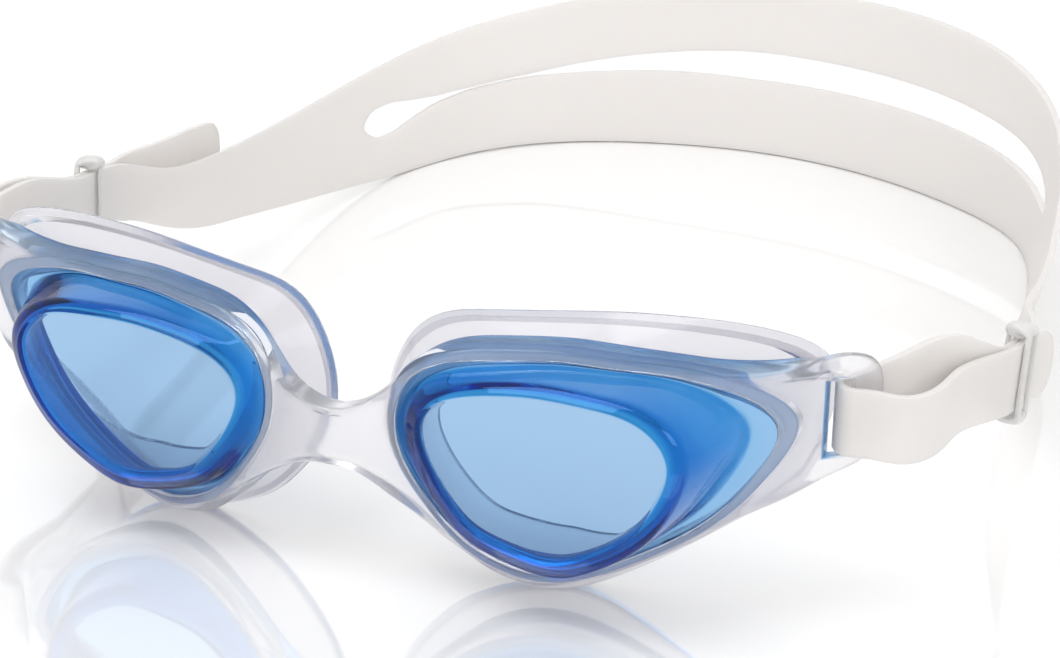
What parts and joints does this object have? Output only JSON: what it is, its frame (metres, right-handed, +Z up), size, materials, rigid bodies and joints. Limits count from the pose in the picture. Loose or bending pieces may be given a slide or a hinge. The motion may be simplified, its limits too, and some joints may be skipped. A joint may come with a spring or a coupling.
{
  "type": "swim goggles",
  "caption": "Swim goggles with two tinted cup lenses in a one-piece clear frame, soft face seals, a split-back strap and strap sliders.",
  "frame": {"origin": "centre of the whole object's plan, on the surface that it lies on", "axes": "+X towards the wearer's left, +Y from the lenses towards the back of the head, +Z up"},
  "size_m": [0.1832, 0.222, 0.0464],
  "materials": {
    "clear_frame": "clear, slightly frosted moulded plastic with polished edges",
    "blue_lens": "clear blue tinted polycarbonate, polished",
    "clear_seal": "clear soft silicone, smooth",
    "strap_silicone": "translucent milky silicone, satin",
    "slider_plastic": "clear moulded plastic"
  },
  "bodies": {
    "goggles": {"frame": "clear_frame", "lens_left": "blue_lens", "lens_right": "blue_lens", "seal_left": "clear_seal", "seal_right": "clear_seal"},
    "strap": {"strap": "strap_silicone"},
    "slider_left": {"slider_left": "slider_plastic"},
    "slider_right": {"slider_right": "slider_plastic"}
  },
  "joints": [
    {"name": "strap_tilt", "type": "hinge", "parent": "goggles", "child": "strap", "pos_m": [0, -0.08783, 0.0346], "axis": [1, 0, 0], "range_deg": [-5, 8]},
    {"name": "slider_left_slide", "type": "slide", "parent": "strap", "child": "slider_left", "axis": [0.1369, 0.9781, -0.1565], "range_m": [-0.003, 0.003]},
    {"name": "slider_right_slide", "type": "slide", "parent": "strap", "child": "slider_right", "axis": [0.0199, 0.9927, -0.1191], "range_m": [-0.003, 0.003]}
  ]
}
